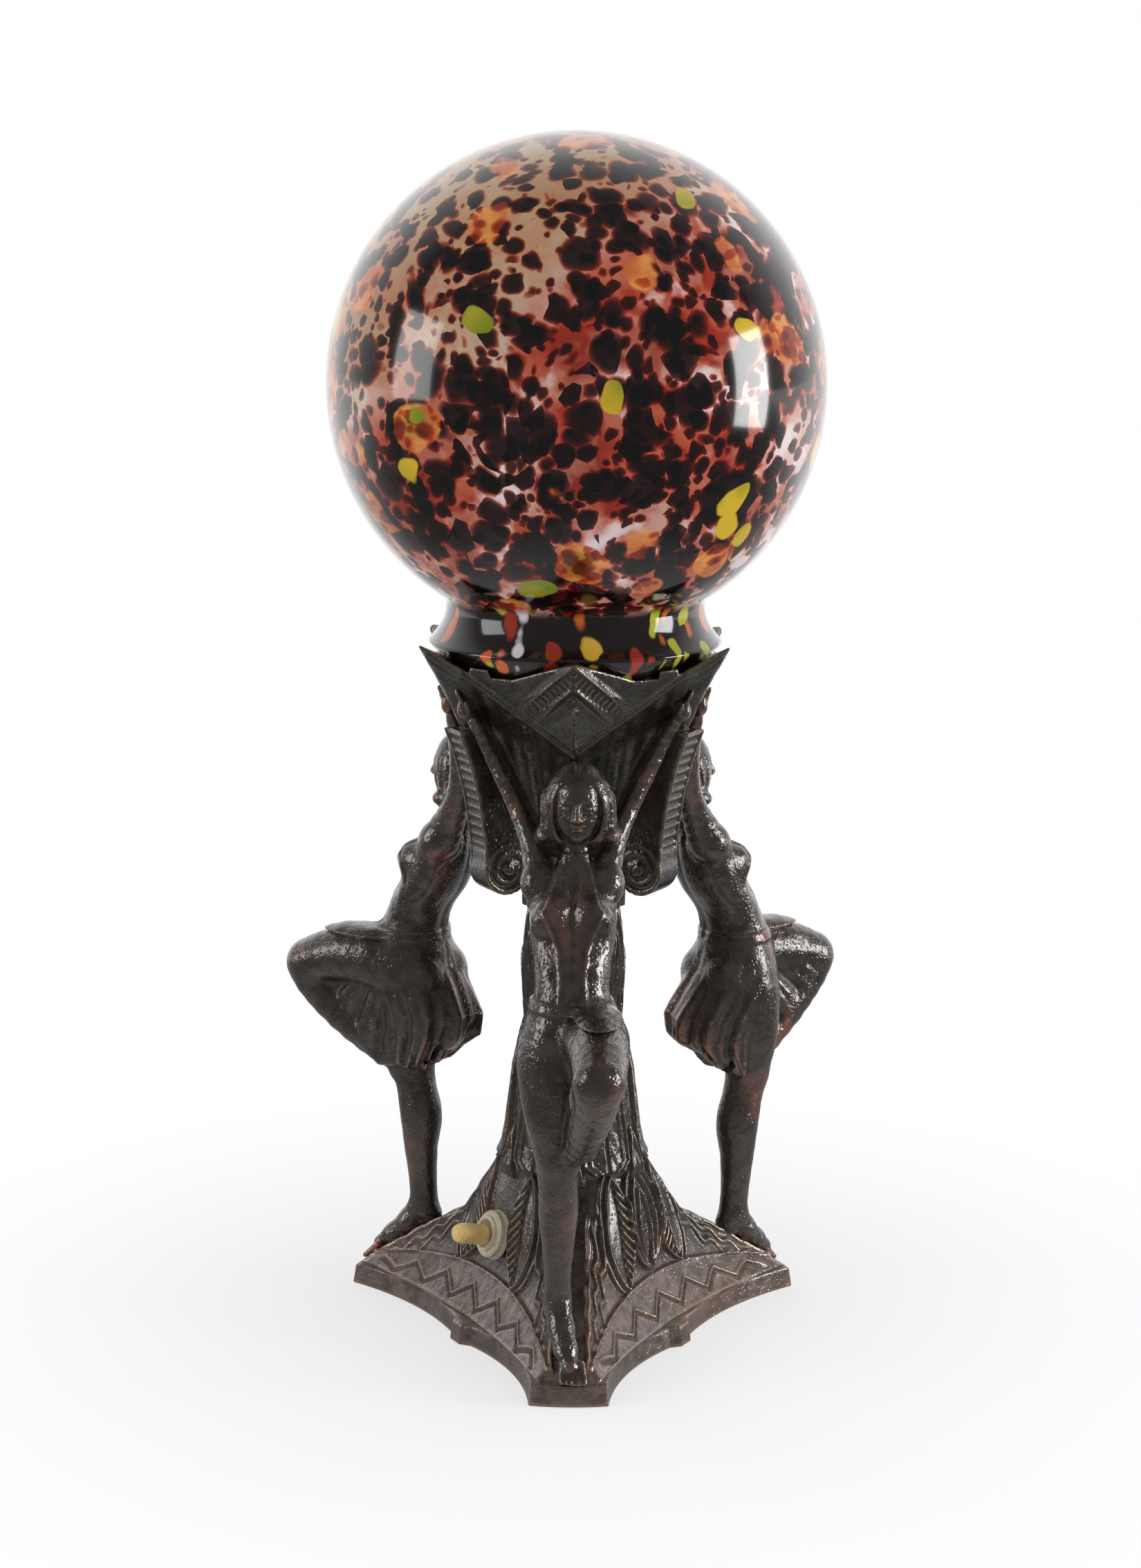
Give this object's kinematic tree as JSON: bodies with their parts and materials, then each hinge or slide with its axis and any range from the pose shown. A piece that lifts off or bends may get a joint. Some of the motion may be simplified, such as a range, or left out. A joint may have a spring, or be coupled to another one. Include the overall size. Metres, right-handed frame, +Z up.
{
  "type": "figural table lamp",
  "caption": "Table lamp: triform cast base with a toggle switch, leafy column, standing figures with raised arms, faceted cup and a round mottled glass globe.",
  "frame": {"origin": "centre of the base on the surface that it stands on", "axes": "+Z up along the lamp's axis, -Y towards the front figure, +X to the right seen from the front"},
  "size_m": [0.186, 0.1839, 0.3845],
  "materials": {
    "patinated_casting": "patinated, semi-gloss, rubbed copper-pink on the edges",
    "mottled_glass": "mottled, blown, glossy",
    "cork": "matt",
    "felt_board": "matt felt",
    "steel": "zinc plated",
    "brass": "aged",
    "porcelain": "glazed",
    "bulb_glass": "frosted",
    "bulb_metal": "satin",
    "ring_metal": "aged, knurled",
    "ivory_plastic": "worn gloss",
    "phenolic": "moulded",
    "lead_cover": "sleeved"
  },
  "bodies": {
    "lamp": {"base_casting": "patinated_casting", "base_board": "felt_board", "foot_pegs": "steel", "foot_washers": "steel", "foot_nuts": "steel", "leaf_column": "patinated_casting", "cup_casting": "patinated_casting", "figure_front": "patinated_casting", "figure_right": "patinated_casting", "figure_left": "patinated_casting", "lamp_tube": "steel", "lower_washer": "steel", "lower_nut": "steel", "upper_washer": "steel", "upper_nut": "brass", "cork_ring": "cork", "holder_cap": "brass", "holder_sleeve": "brass", "holder_shell": "brass", "holder_core": "porcelain", "holder_contact": "brass", "switch_dress_washer": "ring_metal", "switch_dress_nut": "ring_metal", "switch_back_nut": "brass", "switch_bush": "ring_metal", "switch_pivot_pin": "steel", "switch_housing": "phenolic", "switch_rocker_pin": "steel", "switch_terminals": "brass", "inlet_bush": "phenolic", "connector_block": "porcelain", "lead_switched": "lead_cover", "lead_neutral": "lead_cover", "lead_live": "lead_cover"},
    "globe": {"globe_glass": "mottled_glass"},
    "bulb": {"bulb_contact": "bulb_metal", "bulb_cap": "bulb_metal", "bulb_glass": "bulb_glass"},
    "lever": {"switch_lever": "ivory_plastic"},
    "rocker": {"switch_rocker": "phenolic"}
  },
  "joints": [
    {"name": "globe_lift", "type": "slide", "parent": "lamp", "child": "globe", "axis": [0, 0, 1], "range_m": [0, 0.14]},
    {"name": "bulb_unscrew", "type": "slide", "parent": "lamp", "child": "bulb", "axis": [0, 0, 1], "range_m": [0, 0.026]},
    {"name": "switch_toggle", "type": "hinge", "parent": "lamp", "child": "lever", "pos_m": [-0.02201, -0.01271, 0.03157], "axis": [0.239, 0.138, 0.9612], "range_deg": [-26, 0]},
    {"name": "rocker_tilt", "type": "hinge", "parent": "lamp", "child": "rocker", "pos_m": [-0.0121, -0.00699, 0.02829], "axis": [0.239, 0.138, 0.9612], "range_deg": [0, 26]}
  ],
  "couplings": [
    {"joint": "rocker_tilt", "follows": "switch_toggle", "ratio": -1}
  ]
}
